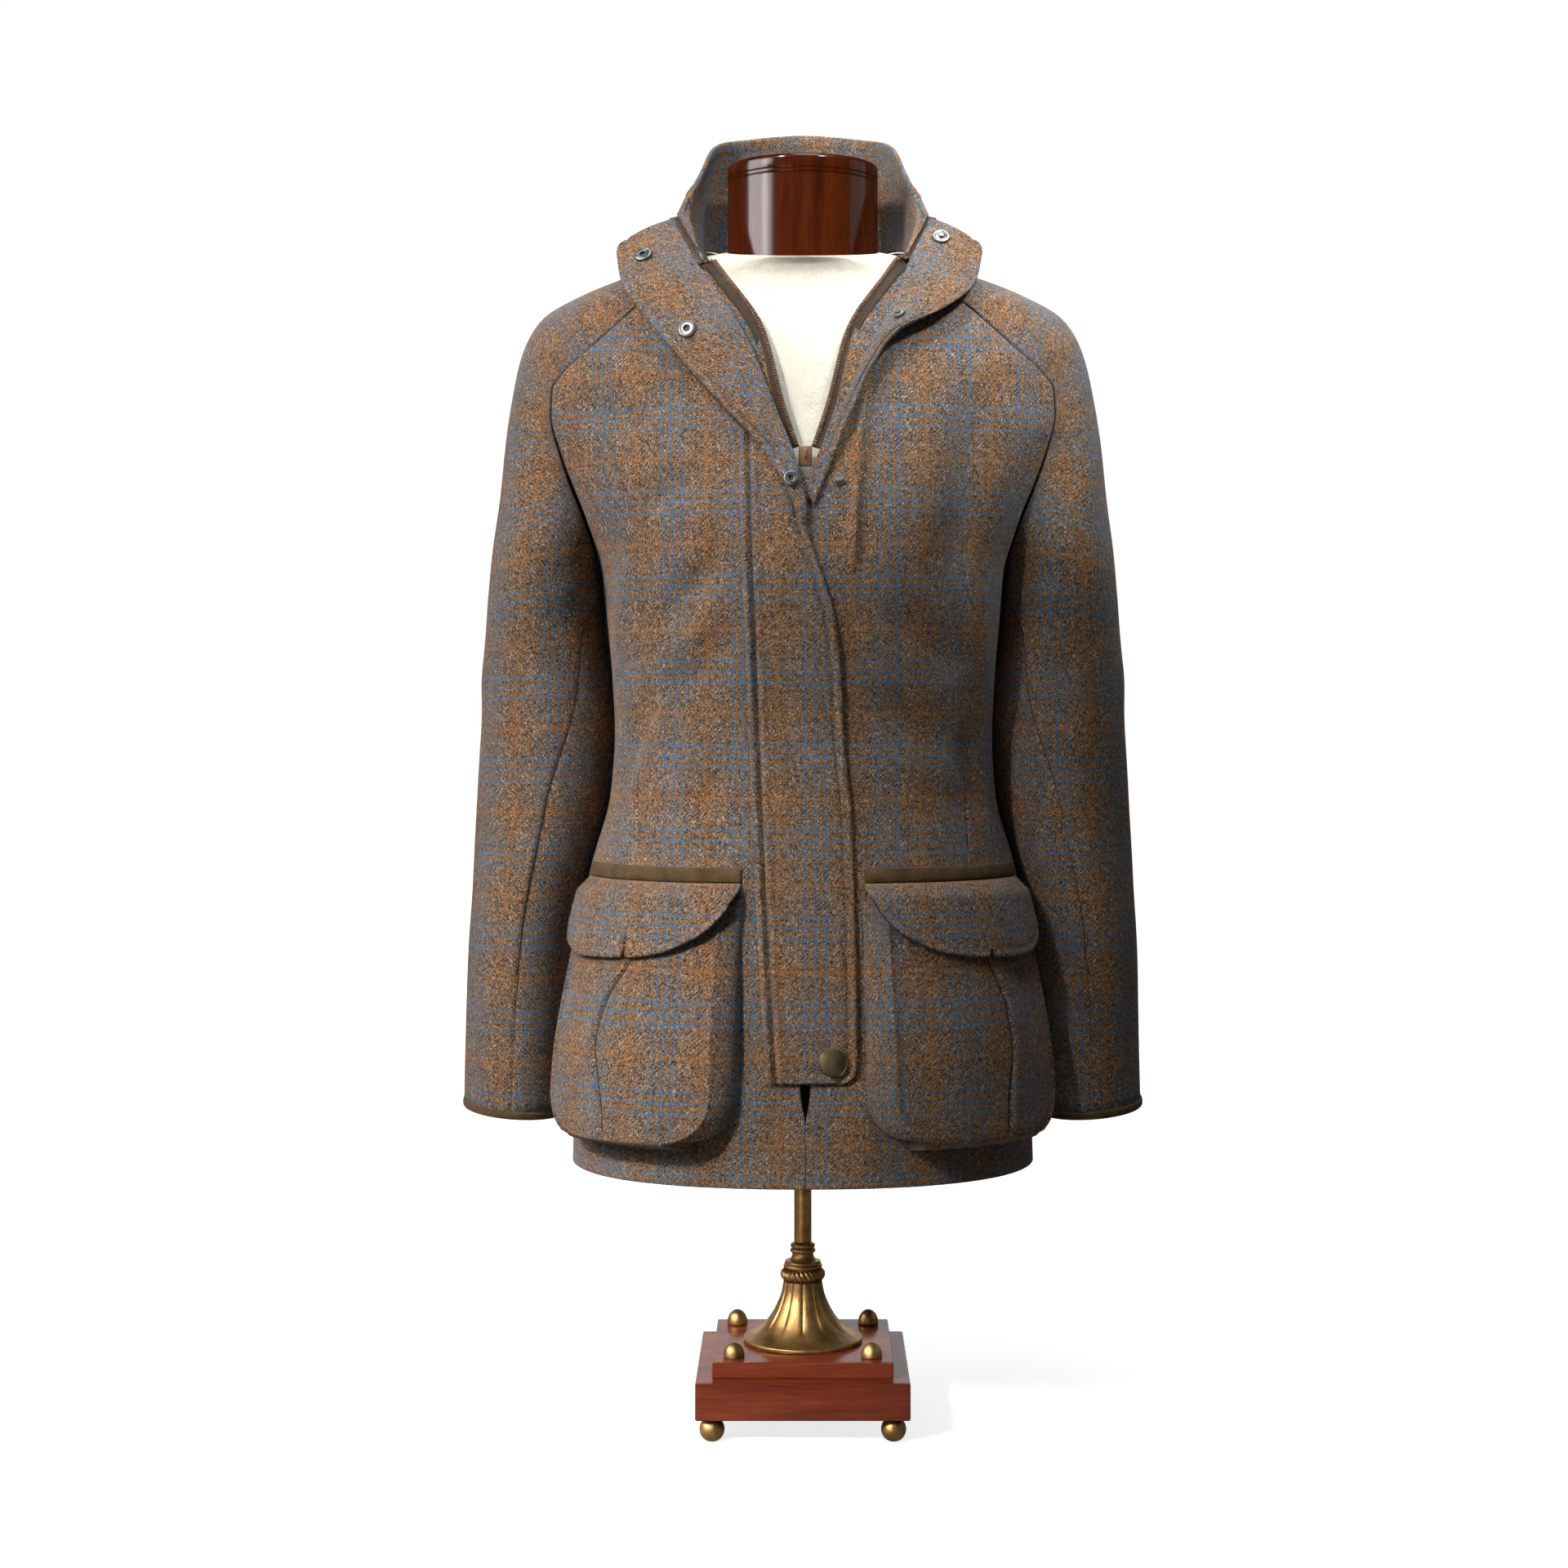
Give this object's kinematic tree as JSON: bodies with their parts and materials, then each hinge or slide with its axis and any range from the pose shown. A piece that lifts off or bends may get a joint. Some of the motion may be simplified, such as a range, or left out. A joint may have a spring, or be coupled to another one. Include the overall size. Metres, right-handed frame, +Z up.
{
  "type": "tweed coat on a limbless dress form and stand",
  "caption": "Hip-length tweed coat with raglan sleeves, standing collar, storm flap over a zip and bellows pockets, shown open at the neck on a limbless dress form with a wood and brass stand.",
  "frame": {"origin": "middle of the whole bounding box at floor level, under the ball feet", "axes": "+Z up, -Y to the front of the coat, +X to the wearer's left"},
  "size_m": [0.5574, 0.3153, 1.0639],
  "materials": {
    "tweed": "woollen tweed, brown and grey speckle with a windowpane of blue and rust lines",
    "binding": "plain brown woven binding",
    "zip_tape": "dark brown zip tape with brown teeth",
    "gunmetal": "dull gunmetal plating",
    "antique_brass": "aged brass, softly polished",
    "linen": "plain unbleached linen over the form",
    "mahogany": "dark red brown varnish"
  },
  "bodies": {
    "root": {"back": "tweed", "ball_foot_back_left": "antique_brass", "ball_foot_back_right": "antique_brass", "ball_foot_front_left": "antique_brass", "ball_foot_front_right": "antique_brass", "baluster": "antique_brass", "collar": "tweed", "cuff_binding_left": "binding", "cuff_binding_right": "binding", "form_bust": "linen", "form_neck": "mahogany", "front_left": "tweed", "front_right": "tweed", "knob_back_left": "antique_brass", "knob_back_right": "antique_brass", "knob_front_left": "antique_brass", "knob_front_right": "antique_brass", "lapel_left": "tweed", "lapel_right": "tweed", "plinth_lower": "mahogany", "plinth_upper": "mahogany", "pocket_bag_left": "tweed", "pocket_bag_right": "tweed", "pocket_binding_left": "binding", "pocket_binding_right": "binding", "pocket_flap_left": "tweed", "pocket_flap_right": "tweed", "pole": "antique_brass", "rope_ring": "antique_brass", "sleeve_under_left": "tweed", "sleeve_under_right": "tweed", "sleeve_upper_left": "tweed", "sleeve_upper_right": "tweed", "snap_cap": "antique_brass", "snap_socket_low": "gunmetal", "snap_socket_middle": "gunmetal", "snap_socket_top": "gunmetal", "snap_stud_low": "gunmetal", "snap_stud_middle": "gunmetal", "snap_stud_top": "gunmetal", "stand_foot": "antique_brass", "storm_flap": "tweed", "zip_closed": "zip_tape", "zip_slider": "gunmetal", "zip_tape_left": "zip_tape", "zip_tape_right": "zip_tape"}
  },
  "joints": []
}
